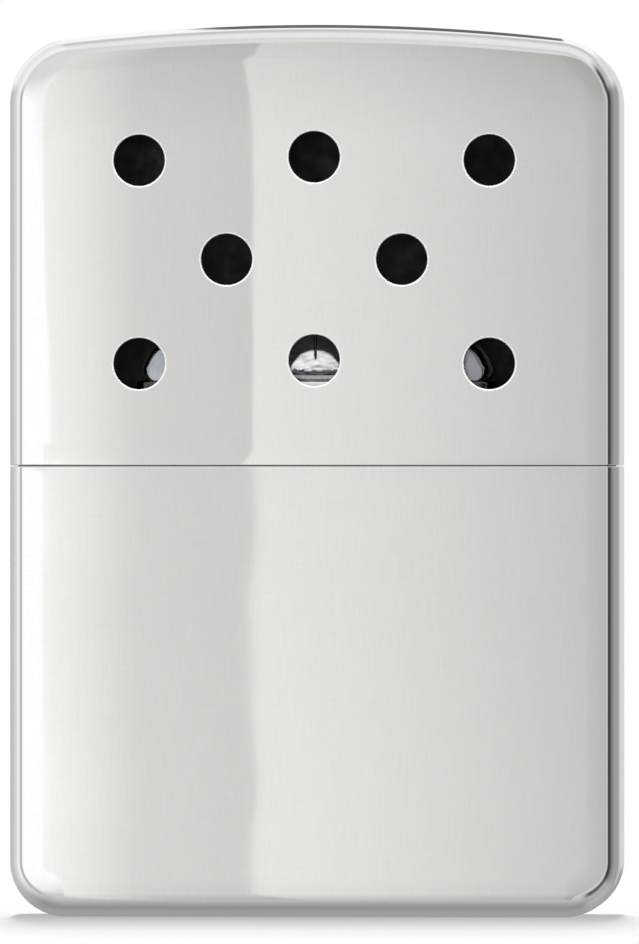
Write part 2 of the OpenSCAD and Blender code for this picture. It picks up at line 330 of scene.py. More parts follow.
def punched_plate(skin, edge, loops, centres, face_y, normal_y, finish):
    """Fills a flat face inside its edge, round the loops of its holes, with a grid that carries the waviness."""
    ids = list(edge)
    joins = loop_joins(0, len(edge))
    for loop in loops:
        joins += loop_joins(len(ids), len(loop))
        ids += loop
    flat = skin.from_front(ids)
    outline = flat[:len(edge)]
    low_x, high_x = min(p.x for p in flat), max(p.x for p in flat)
    low_z, high_z = min(p.y for p in flat), max(p.y for p in flat)
    columns, rows = int((high_x - low_x) / PLATE_GRID), int((high_z - low_z) / PLATE_GRID)
    for x in spread(low_x, high_x, columns)[1:-1]:
        for z in spread(low_z, high_z, rows)[1:-1]:
            p = Vector((x, z))
            clear = all((p - c).length > VENT_R + VENT_CLEAR for c in centres)
            if clear and min((p - q).length for q in outline) > EDGE_CLEAR:
                ids.append(skin.point((x, face_y, z)))
                flat.append(p)
    faces = triangles(flat, joins, len(edge))
    for i in set(ids):
        p = skin.points[i]
        skin.normals[i] = Vector((waviness(p.x, p.z), normal_y, 0)).normalized()
    holes = [set(loop) for loop in loops]
    for corners in faces:
        found = [ids[c] for c in corners]
        if not any(hole.issuperset(found) for hole in holes):
            skin.face(found, finish)


def vent_centres():
    centres = []
    for row, count in enumerate(VENT_ROWS):
        for i in range(count):
            column = i - (count - 1) / 2
            height = VENT_SEAM_Z + row * VENT_PITCH_Z - VENT_DROP * column * column
            centres.append(Vector((column * VENT_PITCH_X, SEAM_LOW + height)))
    return centres


def vent_wall(skin, centre):
    """Punched edge of one vent: rolled in at the front, straight through the sheet, barely rounded inside."""
    front, back, small = -HALF_D, -HALF_D + CASE_SHEET, VENT_INNER_ROLL
    steps = [
        (VENT_R + VENT_ROLL * (1 - sin(a)), front + VENT_ROLL * (1 - cos(a)), -sin(a), -cos(a))
        for a in arc_angles(VENT_STEPS)
    ]
    steps += [
        (VENT_R + small * (1 - cos(a)), back - small * (1 - sin(a)), -cos(a), sin(a)) for a in arc_angles(3)
    ]
    rings = []
    for r, y, inward, face in steps:
        out = [Vector((cos(a), sin(a))) for a in turns(VENT_POINTS)]
        ring = [((centre.x + r * u.x, y, centre.y + r * u.y), (inward * u.x, face, inward * u.y)) for u in out]
        rings.append(skin.row(ring))
    skin.loft(rings[:VENT_STEPS + 1], RIM, closed=True)
    skin.loft(rings[VENT_STEPS:], OUTSIDE, closed=True)
    return rings[0], rings[-1]


def lip_path():
    """Across the sheet's edge at the seam: inset, height, and the normal's outward and seamward parts."""
    def lean(h):
        return atan(LIP_CURL * 2.5 / LIP_H * (1 - h / LIP_H) ** 1.5)

    heights = spread(LIP_H, SEAM_ROLL, LIP_STEPS)[1:]
    path = [(LIP_CURL * (1 - h / LIP_H) ** 2.5, h, cos(lean(h)), -sin(lean(h))) for h in heights]
    foot = path[-1][0]
    for a in arc_angles(6, lean(SEAM_ROLL))[1:]:
        path.append((foot + SEAM_ROLL * (1 - cos(a)), SEAM_ROLL * (1 - sin(a)), cos(a), -sin(a)))
    for a in arc_angles(4):
        inset = CASE_SHEET + foot - INNER_ROLL * (1 - sin(a))
        path.append((inset, INNER_ROLL * (1 - cos(a)), -sin(a), -cos(a)))
    for h in spread(INNER_ROLL, LIP_H, 4)[1:-1]:
        path.append((CASE_SHEET + foot * (1 - h / LIP_H), h, -1, 0))
    return path


def lip_ring(skin, half, inset, height, out, up):
    """One closed ring round the case at a height near the seam, from the right front."""
    z = half.z(height)
    up *= half.sign
    across = depth_profile(inset, EDGE_R)
    right = [((HALF_W - d, y, z), (side * out, face * out, up)) for d, y, side, face in across]
    left = [((-x, y, z), (-nx, ny, nz)) for (x, y, z), (nx, ny, nz) in reversed(right)]
    xs = spread(FACE_REACH, -FACE_REACH, FACE_COLUMNS)[1:-1]
    depth = HALF_D - inset
    rear = [((x, depth, z), (waviness(x, z), out, up)) for x in xs]
    front = [((x, -depth, z), (waviness(x, z), -out, up)) for x in reversed(xs)]
    return skin.row(right + rear + left + front)


def case_half(name, half, centres, materials):
    """A whole drawn shell: both sides of its sheet, its edge at the seam, and its vents round the centres."""
    skin = Skin()
    walls = [vent_wall(skin, c) for c in centres]
    starts = []
    for side, inset in ((OUTSIDE, 0), (INSIDE, CASE_SHEET)):
        flip = 1 - 2 * side
        grid = half.surface(skin, inset, flip, side)
        lines = {}
        for face in (1, -1):
            face_y = face * (HALF_D - inset)
            lines[face] = half.lip_line(skin, face_y, flip)
            edge = [row[-1 if face > 0 else 0] for row in grid] + lines[face]
            vents = (centres, [wall[side] for wall in walls]) if face < 0 else ([], [])
            punched_plate(skin, edge, vents[1], vents[0], face_y, face * flip, side)
        starts.append(grid[0] + lines[1][::-1] + grid[-1][::-1] + lines[-1])
    previous = starts[0]
    for inset, height, out, up in lip_path():
        ring = lip_ring(skin, half, inset, height, out, up)
        skin.band(previous, ring, OUTSIDE if out > -0.5 else INSIDE, closed=True)
        previous = ring
    skin.band(previous, starts[1], INSIDE, closed=True)
    return skin.build(name, materials, own_normals=True)


# ---- stacks of rings, for formed sheet
def even_ring(outline):
    """Points at even steps along a closed outline, starting on +X."""
    closed = outline + [outline[0]]
    lengths = [0.0]
    for a, b in zip(closed, closed[1:]):
        lengths.append(lengths[-1] + (b - a).length)
    ring, k = [], 0
    for i in range(RING_POINTS):
        at = lengths[-1] * i / RING_POINTS
        while lengths[k + 1] < at:
            k += 1
        share = (at - lengths[k]) / (lengths[k + 1] - lengths[k])
        ring.append(closed[k].lerp(closed[k + 1], share))
    return ring


def rounded_rectangle(half_w, half_d, r):
    points = [Vector((half_w, 0))]
    for sx, sy, start in ((1, 1, 0), (-1, 1, 90), (-1, -1, 180), (1, -1, 270)):
        for a in arc_angles(8):
            turn = a + radians(start)
            points.append(Vector((sx * (half_w - r) + r * cos(turn), sy * (half_d - r) + r * sin(turn))))
    return even_ring(points)


def oval(half_w, half_d):
    x, r = half_w - half_d, half_d
    points = [Vector((x + r * cos(a), r * sin(a))) for a in arc_angles(24)]
    points += [Vector((-x - r * sin(a), r * cos(a))) for a in arc_angles(48, 0, pi)]
    points += [Vector((x + r * sin(a), -r * cos(a))) for a in arc_angles(24)][:-1]
    return even_ring(points)


def rounded_path(corners, steps=4):
    """A closed path through corners (a, b, radius), with each corner rounded."""
    path = []
    count = len(corners)
    for i, (a, b, r) in enumerate(corners):
        here = Vector((a, b))
        before = Vector(corners[i - 1][:2]) - here
        after = Vector(corners[(i + 1) % count][:2]) - here
        r = min(r, before.length * 0.45, after.length * 0.45)
        start, end = here + before.normalized() * r, here + after.normalized() * r
        for t in spread(0, 1, steps):
            path.append(start.lerp(here, t).lerp(here.lerp(end, t), t))
    return path


def ring_stack(rings):
    """A closed sheet from flat rings and their heights, the last ring joined to the first."""
    skin = Skin()
    rows = [skin.plain_row([p.to_3d() + Vector((0, 0, z)) for p in ring]) for ring, z in rings]
    skin.loft(rows + rows[:1], closed=True)
    return skin


def blend(a, b, share):
    """Points part of the way from one ring to another."""
    return [p.lerp(q, share) for p, q in zip(a, b)]


def shade_by_angle(piece, limit=50):
    piece.data.set_sharp_from_angle(angle=radians(limit))
    return piece


def tank_collar(materials):
    """Stepped insert: its outside, its deck and the hole for the neck are one formed sheet."""
    foot_z, deck_z = COLLAR_LOW.z, COLLAR_HIGH.z
    foot_w, foot_d = COLLAR_HIGH.x, COLLAR_HIGH.y
    fit = CASE_SHEET + COLLAR_FIT
    step, bevel, sheet = foot_w - (HALF_W - fit), DECK_BEVEL, COLLAR_SHEET
    path = rounded_path([
        (0, foot_z, 0.1), (0, SEAM_LOW, 0.1), (step, SEAM_LOW, 0.08), (step, deck_z - bevel, 0.35),
        (step + bevel, deck_z, 0.35), (DECK_HOLE_X, deck_z, 0.1), (DECK_HOLE_X, deck_z - sheet, 0.1),
        (step + bevel + 0.2, deck_z - sheet, 0.3), (step + sheet, deck_z - bevel - 0.2, 0.3),
        (step + sheet, foot_z, 0.1),
    ])
    hole = oval(NECK_W + NECK_FIT, NECK_D + NECK_FIT)
    straight = 1.6  # how far in the rings keep the case's outline
    rings = []
    for inset, z in path:
        share = min(1.0, max(0.0, (inset - straight) / (DECK_HOLE_X - straight)))
        take_in = min(inset, straight)
        corner = max(EDGE_R - CASE_SHEET - take_in * 0.3, 0.2)
        outer = rounded_rectangle(foot_w - take_in, foot_d - take_in, corner)
        rings.append((blend(outer, hole, share), z))
    skin = ring_stack(rings)
    for face in (-1, 1):
        for x in (-DETENT_X, DETENT_X):
            detent(skin, x, face * (HALF_D - fit), face, (SEAM_LOW + deck_z - bevel) / 2)
    return shade_by_angle(skin.build("collar", materials), 60)


def detent(skin, x, y, face, z):
    """A shallow round bump that grips the cover."""
    rows = [(DETENT_R, -DETENT_ROOT)]
    rows += [(DETENT_R * cos(a), DETENT_PROUD * sin(a)) for a in arc_angles(6)[:-1]]
    rings = [
        skin.plain_row([(x + r * cos(a), y + face * out, z + r * sin(a)) for a in turns(DETENT_POINTS)])
        for r, out in rows
    ]
    skin.loft(rings, closed=True)
    tip = skin.point((x, y + face * DETENT_PROUD, z))
    back = skin.point((x, y - face * DETENT_ROOT, z))
    for ring, end in ((rings[-1], tip), (rings[0], back)):
        for k in range(DETENT_POINTS):
            skin.face([ring[k], ring[(k + 1) % DETENT_POINTS], end])


def filler_neck(materials):
    """Oval tube with a rolled mouth, and the lip that holds it under the deck."""
    under = COLLAR_HIGH.z - COLLAR_SHEET
    path = rounded_path([
        (0, NECK_LOW.z, 0.12), (0, under - NECK_SHEET, 0.08), (-NECK_LIP, under - NECK_SHEET, 0.15),
        (-NECK_LIP, under, 0.15), (0, under, 0.05), (0, NECK_HIGH.z, 0.2), (NECK_SHEET, NECK_HIGH.z, 0.2),
        (NECK_SHEET, NECK_LOW.z, 0.12),
    ], 5)
    rings = [(oval(NECK_W - inset, NECK_D - inset), z) for inset, z in path]
    return shade_by_angle(ring_stack(rings).build("neck", materials))


def burner_base(materials):
    """Tray under the burner: a skirt outside, a turned edge on top, and a socket that fits the neck."""
    half_w, half_d = BASE_HIGH.x, BASE_HIGH.y
    hole = oval(NECK_W + SOCKET_GAP, NECK_D + SOCKET_GAP)
    top, foot, sheet = BASE_HIGH.z, BASE_LOW.z, BURNER_SHEET
    inner = half_d - (NECK_D + SOCKET_GAP)
    path = rounded_path([
        (0, foot, 0.1), (0, top, 0.28), (inner, top, 0.2), (inner, foot, 0.1), (inner - sheet, foot, 0.1),
        (inner - sheet, top - sheet, 0.15), (sheet, top - sheet, 0.15), (sheet, foot, 0.1),
    ])
    rings = []
    for inset, z in path:
        take_in = min(inset, sheet)
        outer = rounded_rectangle(half_w - take_in, half_d - take_in, BURNER_EDGE + 0.5 - take_in)
        rings.append((blend(outer, hole, max(0.0, (inset - sheet) / (inner - sheet))), z))
    return shade_by_angle(ring_stack(rings).build("burner_tray", materials))


# ---- the burner housing
def loaf_stations(take_out=0.0):
    """Point and outward direction along the housing's outline, from its left foot over the top."""
    w, h = HOUSING_W + take_out, HOUSING_H + take_out
    rx, rz = SHOULDER_RX + take_out, SHOULDER_RZ + take_out
    left = [
        (Vector((-w + CURL_R - CURL_R * sin(a), CURL_R - CURL_R * cos(a))), Vector((-sin(a), -cos(a))))
        for a in arc_angles(8)
    ]
    for z in spread(CURL_R, h - rz, 2)[1:] if h - rz > CURL_R else []:
        left.append((Vector((-w, z)), Vector((-1, 0))))
    start = 0 if h - rz > CURL_R else asin((CURL_R - (h - rz)) / rz)
    for a in arc_angles(20, start)[1:]:
        out = Vector((-cos(a) / rx, sin(a) / rz)).normalized()
        left.append((Vector((-w + rx - rx * cos(a), h - rz + rz * sin(a))), out))
    half = left + [(Vector((x, h)), Vector((0, 1))) for x in spread(-w + rx, 0, 5)[1:]]
    return half + [(Vector((-p.x, p.y)), Vector((-n.x, n.y))) for p, n in reversed(half[:-1])]


def window_loop():
    """Outline of the window, in the housing's own heights."""
    half_w, low, high = HOUSING_W - WINDOW_SIDE, WINDOW_LIP, HOUSING_H - WINDOW_TOP
    rx, rz, foot = 7.5, high - low - 0.5, 0.45
    right = [Vector((half_w - foot + foot * sin(a), low + foot - foot * cos(a))) for a in arc_angles(5)]
    right += [Vector((half_w - rx + rx * cos(a), high - rz + rz * sin(a))) for a in arc_angles(14)]
    right += [Vector((x, high)) for x in spread(half_w - rx, 0, 4)[1:]]
    left = [Vector((-p.x, p.y)) for p in reversed(right[:-1])]
    return right + left + [Vector((x, low)) for x in spread(-half_w + foot, half_w - foot, 16)[1:-1]]


def housing_half(name, face, materials, wrapped):
    """A pressed half of the housing, open underneath, with its window. It gets its thickness from a modifier."""
    skin = Skin()
    grid = []
    for p, out in loaf_stations():
        edge = BURNER_EDGE * (1 - min(1.0, max(0.0, -out.y)) ** 2) + 0.02
        row = [(p.x, face * y, HOUSING_FOOT + p.y) for y in (0.02, 1.3, 2.6)]
        for a in arc_angles(6):
            q = p - out * edge * (1 - cos(a))
            row.append((q.x, face * (HOUSING_Y - edge * (1 - sin(a))), HOUSING_FOOT + max(q.y, 0.0)))
        grid.append(skin.plain_row(row))
    skin.loft(grid)
    ids = [row[-1] for row in grid]
    low_right, low_left = skin.points[ids[-1]], skin.points[ids[0]]
    foot = [low_right.lerp(low_left, t).x for t in spread(0, 1, 18)[1:-1]]
    ids += skin.plain_row([(x, face * HOUSING_Y, HOUSING_FOOT + FOOT_LIFT) for x in foot])
    count = len(ids)
    ids += skin.plain_row([(p.x, face * HOUSING_Y, HOUSING_FOOT + p.y) for p in window_loop()])
    flat = skin.from_front(ids)
    for corners in triangles(flat, loop_joins(0, count) + loop_joins(count, len(ids) - count), count):
        middle = sum((flat[c] for c in corners), Vector((0, 0))) / len(corners)
        if not inside(middle, flat[count:]):
            skin.face([ids[c] for c in corners])
    if wrapped:
        skin.loft([
            skin.plain_row([(p.x, y, HOUSING_FOOT + p.y) for y in (-0.8, -0.4, 0.0, 0.4, 0.8)])
            for p, _ in loaf_stations(RIM_W)
        ])
    piece = skin.build(name, materials)
    face_out(piece.data)
    thicken = piece.modifiers.new("sheet", "SOLIDIFY")
    thicken.thickness = BURNER_SHEET * MM * 0.85
    thicken.offset = -1
    thicken.use_even_offset = True
    thicken.material_offset_rim = 1
    soften = piece.modifiers.new("edges", "BEVEL")
    soften.width = 0.06 * MM
    soften.segments = 3
    soften.limit_method = "ANGLE"
    soften.angle_limit = radians(40)
    return shade_by_angle(piece, 60)


def inside(p, loop):
    """Whether p lies in a closed loop of points."""
    hit = False
    for a, b in zip(loop, loop[1:] + loop[:1]):
        if (a.y > p.y) != (b.y > p.y) and p.x < (b.x - a.x) * (p.y - a.y) / (b.y - a.y) + a.x:
            hit = not hit
    return hit


def face_out(mesh):
    """Turns each face of an open sheet away from the housing's middle."""
    middle_z = (HOUSING_FOOT + HOUSING_H * 0.3) * MM
    inward = set()
    for polygon in mesh.polygons:
        away = polygon.center - Vector((polygon.center.x * 0.6, 0, middle_z))
        if polygon.normal.dot(away) < 0:
            inward.add(polygon.index)
    edited(mesh, lambda bm: bmesh.ops.reverse_faces(bm, faces=[f for f in bm.faces if f.index in inward]))


def tube(skin, points, radius, sides=16):
    """A round wire along points, with half-round ends."""
    ahead = [(b - a).normalized() for a, b in zip(points, points[1:])]
    ahead.append(ahead[-1])

    def ring(centre, axis, r):
        u = axis.orthogonal().normalized() if abs(axis.z) < 0.9 else Vector((1, 0, 0))
        u = (u - axis * u.dot(axis)).normalized()
        v = axis.cross(u)
        return skin.plain_row([centre + (u * cos(t) + v * sin(t)) * r for t in turns(sides)])

    def end(point, axis, a, way):
        return ring(point + axis * way * radius * cos(a), axis, radius * max(sin(a), 0.05))

    rings = [end(points[0], ahead[0], a, -1) for a in arc_angles(4)[:-1]]
    rings += [ring(p, d, radius) for p, d in zip(points, ahead)]
    rings += [end(points[-1], ahead[-1], a, 1) for a in reversed(arc_angles(4)[:-1])]
    skin.loft(rings, closed=True, capped=True)


def mat_wire(name, node, materials):
    """A bar behind the window's upper edge, with three tines that hang over the mat."""
    low, high = box_mm(node)
    r = (high.y - low.y) / 2
    y = (high.y + low.y) / 2
    bar_z = high.z - r
    reach = high.x - r
    skin = Skin()
    tube(skin, [Vector((x, y, bar_z)) for x in spread(-reach, reach, 12)], r)
    for x in (-reach, 0, reach):
        tube(skin, [Vector((x, y, z)) for z in spread(bar_z - r * 0.5, low.z + r, 6)], r)
    return shade_by_angle(skin.build(name, materials), 60)


# ---- soft pieces
def loaf_half_width(z):
    """Half width of the mat at a height above the housing's foot."""
    w, h = HOUSING_W - MAT_INSET, HOUSING_H - MAT_INSET
    rx, rz = SHOULDER_RX - MAT_INSET, SHOULDER_RZ - MAT_INSET
    if z <= h - rz:
        return w
    lift = min(1.0, (z - h + rz) / rz)
    return w - rx + rx * sqrt(max(0.0, 1 - lift * lift))


def catalyst_mat(materials):
    """Fibre mat folded over the core: crinkled where it bulges at the windows, frayed along its foot."""
    across, leaf, fold = 150, 46, 7
    height, turn = HOUSING_H - MAT_INSET - 0.05, MAT_FOLD_R
    path = [(-MAT_Y, t * (height - turn), -1, 0) for t in spread(0, 1, leaf)]
    for a in arc_angles(fold)[1:]:
        path.append((-MAT_Y + turn * (1 - cos(a)), height - turn + turn * sin(a), -cos(a), sin(a)))
    path += [(-y, z, -ny, nz) for y, z, ny, nz in reversed(path)]
    skin = Skin()
    outer, inner = [], []
    for y, z, ny, nz in path:
        out_row, in_row = [], []
        for u in spread(-1, 1, across):
            x = u * (loaf_half_width(z) - 0.05)
            fray = max(0.0, 1 - z / 1.5)
            coarse = noise.fractal(Vector((x * 0.55, y + 3, z * 1.5)), 1.0, 2.0, 4)
            crinkle = noise.fractal(Vector((x * 2.3, y - 7, z * 3.4)), 0.9, 2.1, 5)
            depth = 0.1 + 0.10 * coarse + (0.05 + 0.16 * max(0.0, 1 - z / 2.6)) * crinkle
            ragged = 0.32 + 0.3 * noise.fractal(Vector((x * 2.3, y, 0.3)), 0.8, 2.2, 4)
            lift = max(0.0, ragged) * fray * fray
            depth = min(0.45, max(0.0, depth)) + 0.25 * fray * fray
            out_row.append((x, y - ny * depth, z + lift - nz * depth + HOUSING_FOOT + 0.02))
            in_row.append((x * 0.93, y - ny * MAT_T, max(z + lift, 0) - nz * MAT_T + HOUSING_FOOT + 0.02))
        outer.append(skin.plain_row(out_row))
        inner.append(skin.plain_row(in_row))
    skin.loft(outer)
    skin.loft(inner)
    for end in (0, -1):
        skin.band(outer[end], inner[end])
    for end in (0, -1):
        skin.band([row[end] for row in outer], [row[end] for row in inner])
    return skin.build("catalyst_mat_folded", materials)


def soft_block(name, low, high, power, lumps, seed, materials, steps=26):
    """A lumpy pad that fills most of the space between two corners, with rounded edges."""
    centre, half = (low + high) / 2, (high - low) / 2
    skin = Skin()
    rows = []
    for lat in spread(-pi / 2 + 0.02, pi / 2 - 0.02, steps):
        row = []
        for lon in turns(2 * steps):
            d = Vector((cos(lat) * cos(lon), cos(lat) * sin(lon), sin(lat)))
            size = sum(abs(c) ** power for c in d) ** (-1 / power)
            wave = noise.fractal(d * 2.6 + Vector((seed, 0, 0)), 0.9, 2.0, 5)
            shrunk = 1 - lumps * (0.5 + 0.5 * wave)
            row.append(centre + Vector([c * h * size for c, h in zip(d, half)]) * shrunk)
        rows.append(skin.plain_row(row))
    skin.loft(rows, closed=True, capped=True)
    return skin.build(name, materials)


def felt_pad(materials):
    """Oval felt, with softly rounded edges and a matted top."""
    half_w, half_d = FELT_HIGH.x - 0.02, FELT_HIGH.y - 0.02
    thick = FELT_HIGH.z - FELT_LOW.z
    edge = 0.25
    profile = [(inset, 0.0) for inset in (3.0, 2.2, 1.4, 0.7, edge)]
    profile += [(edge * (1 - sin(a)), edge * (1 - cos(a))) for a in arc_angles(4)[1:]]
    profile += [(inset, thick - h) for inset, h in reversed(profile)]
    skin = Skin()
    rings = []
    for inset, h in profile:
        ring = []
        for p in oval(half_w - inset, max(half_d - inset, 0.05)):
            lump = 0.09 * noise.fractal(Vector((p.x * 1.4, p.y * 1.4, h)), 0.9, 2.0, 4)
            ring.append((p.x, p.y, FELT_LOW.z + h + (-abs(lump) if h > thick / 2 else abs(lump) * 0.3)))
        rings.append(skin.plain_row(ring))
    skin.loft(rings, closed=True, capped=True)
    return skin.build("neck_felt", materials)


# ---- materials
class Nodes:
    """Shorthand for the nodes of one tree."""

    def __init__(self, owner):
        owner.use_nodes = True
        self.nodes, self.links = owner.node_tree.nodes, owner.node_tree.links

    def feed(self, value, socket):
        if isinstance(value, bpy.types.NodeSocket):
            self.links.new(value, socket)
        elif hasattr(value, "__len__"):
            socket.default_value = (*value, 1)
        else:
            socket.default_value = value

    def rays(self):
        return self.nodes.new("ShaderNodeLightPath").outputs

    def math(self, operation, *values):
        node = self.nodes.new("ShaderNodeMath")
        node.operation = operation
        for value, socket in zip(values, node.inputs):
            self.feed(value, socket)
        return node.outputs[0]

    def scaled(self, source, start, end, low=0.0, high=1.0, kind="LINEAR"):
        """Level that goes from low, where source is at start, to high, where it is at end."""
        node = self.nodes.new("ShaderNodeMapRange")
        node.interpolation_type = kind
        sockets = ("Value", "From Min", "From Max", "To Min", "To Max")
        for value, name in zip((source, start, end, low, high), sockets):
            self.feed(value, node.inputs[name])
        return node.outputs["Result"]

    def step(self, source, start, end):
        """Smooth step from 0 at start to 1 at end."""
        return self.scaled(source, start, end, kind="SMOOTHSTEP")

    def ramp(self, source, stops):
        """Colour or level that follows source through (position, colour) stops."""
        ramp = self.nodes.new("ShaderNodeValToRGB")
        elements = ramp.color_ramp.elements
        while len(elements) < len(stops):
            elements.new(0.5)
        for element, (position, colour) in zip(elements, stops):
            element.position = position
            element.color = (*colour, 1) if hasattr(colour, "__len__") else (colour, colour, colour, 1)
        self.links.new(source, ramp.inputs["Fac"])
        return ramp.outputs["Color"]

    def between(self, source, low, high):
        """Colour or level from low to high over the range that a noise mostly takes."""
        return self.ramp(source, [(0.3, low), (0.7, high)])

    def mix(self, share, a, b, kind="MIX"):
        mix = self.nodes.new("ShaderNodeMix")
        mix.data_type = "RGBA"
        mix.blend_type = kind
        for value, colour_socket in ((share, 0), (a, 6), (b, 7)):
            self.feed(value, mix.inputs[colour_socket])
        return mix.outputs[2]


class Finish(Nodes):
    """A node material in the object's own coordinates."""

    def __init__(self, name, metallic=0.0):
        self.material = bpy.data.materials.new(name)
        super().__init__(self.material)
        self.shader = self.nodes["Principled BSDF"]
        self.set("Metallic", metallic)
        self.place = self.nodes.new("ShaderNodeTexCoord").outputs["Object"]

    def set(self, name, value):
        self.feed(value, self.shader.inputs[name])

    def noise(self, scale, detail=4, stretch=(1, 1, 1), roughness=0.55):
        """Noise with scale features to the metre, drawn out along an axis by a low stretch."""
        mapping = self.nodes.new("ShaderNodeMapping")
        mapping.inputs["Scale"].default_value = stretch
        self.links.new(self.place, mapping.inputs["Vector"])
        texture = self.nodes.new("ShaderNodeTexNoise")
        for name, value in (("Scale", scale), ("Detail", detail), ("Roughness", roughness)):
            texture.inputs[name].default_value = value
        self.links.new(mapping.outputs["Vector"], texture.inputs["Vector"])
        return texture.outputs["Fac"]

    def axes(self):
        split = self.nodes.new("ShaderNodeSeparateXYZ")
        self.links.new(self.place, split.inputs[0])
        return split.outputs

    def bump(self, height, depth):
        """Relief of a real depth in metres, over any that is there."""
        bump = self.nodes.new("ShaderNodeBump")
        bump.inputs["Strength"].default_value = 1.0
        bump.inputs["Distance"].default_value = depth
        normal = self.shader.inputs["Normal"]
        if normal.is_linked:
            self.links.new(normal.links[0].from_socket, bump.inputs["Normal"])
        self.links.new(height, bump.inputs["Height"])
        self.links.new(bump.outputs["Normal"], normal)


def polished_case(name, smooth, rubbed):
    """Bright plated sheet with a fine polishing grain, mostly upright, and faint rubbing."""
    f = Finish(name, 1.0)
    streaks = f.noise(5200, 6, (1, 1, 0.07), 0.7)
    grain = f.mix(0.33, streaks, f.noise(3600, 5, (0.1, 1, 1), 0.65))
    f.set("Base Color", f.between(grain, (0.876, 0.871, 0.835), (0.938, 0.933, 0.895)))
    f.set("Roughness", f.ramp(f.noise(90, 3), [(0.35, smooth), (0.75, rubbed)]))
    f.bump(grain, 2.5e-8)
    return f.material


def metal(name, metallic, tint, dark, light, texture, smooth, rough, grain=None, relief=0.0):
    """Plain metal. Tint, texture and grain are the noises that vary its colour, roughness and surface."""
    f = Finish(name, metallic)
    f.set("Base Color", f.between(f.noise(*tint), dark, light))
    f.set("Roughness", f.between(f.noise(*texture), smooth, rough))
    if grain:
        f.bump(f.noise(*grain), relief)
    return f.material


def brushed_metal(name, brushing, colour, smooth, rough, relief):
    """Metal whose colour is made by a function, with the roughness and relief of its brushing."""
    f = Finish(name, 1.0)
    brushed = f.noise(2600, 5, brushing)
    f.set("Base Color", colour(f, brushed))
    f.set("Roughness", f.between(brushed, smooth, rough))
    f.bump(brushed, relief)
    return f.material


def plating(f, brushed):
    """Satin plating."""
    return f.between(f.mix(0.4, brushed, f.noise(240)), (0.72, 0.71, 0.68), (0.84, 0.83, 0.8))


def heat_tint(f, _brushed):
    """Bluish grey steel, with straw and blue heat tint that gathers in patches."""
    return f.ramp(f.noise(210), [
        (0.3, (0.44, 0.46, 0.49)), (0.52, (0.5, 0.51, 0.53)),
        (0.66, (0.52, 0.49, 0.43)), (0.8, (0.37, 0.41, 0.49)),
    ])


def painted_lit_middle_shaded_ends(f, _brushed):
    """Plating painted bright in the middle as a highlight and dark towards its ends as shade, with a little noise.
    """
    from_middle = f.scaled(f.math("ABSOLUTE", f.axes()[0]), 0, 0.014)
    painted_end_shade = f.mix(0.25, f.ramp(from_middle, [(0.25, 0.0), (0.8, 1.0)]), f.noise(300))
    return f.ramp(painted_end_shade, [(0.15, (0.9, 0.9, 0.88)), (0.75, (0.1, 0.09, 0.08))])


def fibre(name, dark, light, scale, relief, sheen=0.25, painted_shade_to=None):
    """Matted fibres: long fine strands over soft tufts. Up to a height in metres they can be painted dark as shade,
    with a ragged top.
    """
    f = Finish(name)
    strands = f.noise(scale, 8, (0.12, 0.5, 1), 0.75)
    crossing = f.noise(scale * 0.8, 8, (1, 0.5, 0.15), 0.75)
    tufts = f.noise(scale * 0.14, 6, (1, 1, 1), 0.6)
    web = f.mix(0.45, strands, crossing)
    colour = f.ramp(f.mix(0.4, web, tufts), [(0.32, dark), (0.62, light)])
    if painted_shade_to:
        # painted shade: a dark band with a ragged top along the mat's foot, where it curls in under the window's lip
        ragged = f.math("MULTIPLY_ADD", f.noise(2200, 6, (1, 1, 0.5), 0.7), -0.0009, f.axes()[2])
        painted_foot_shade = f.ramp(web, [(0.35, (0.045, 0.045, 0.05)), (0.65, (0.13, 0.13, 0.14))])
        colour = f.mix(f.step(ragged, painted_shade_to - 0.0005, painted_shade_to - 0.0004), painted_foot_shade, colour)
    f.set("Base Color", colour)
    f.set("Roughness", 1.0)
    f.set("Specular IOR Level", 0.2)
    f.set("Sheen Weight", sheen)
    f.bump(tufts, relief * 3)
    f.bump(web, relief)
    return f.material


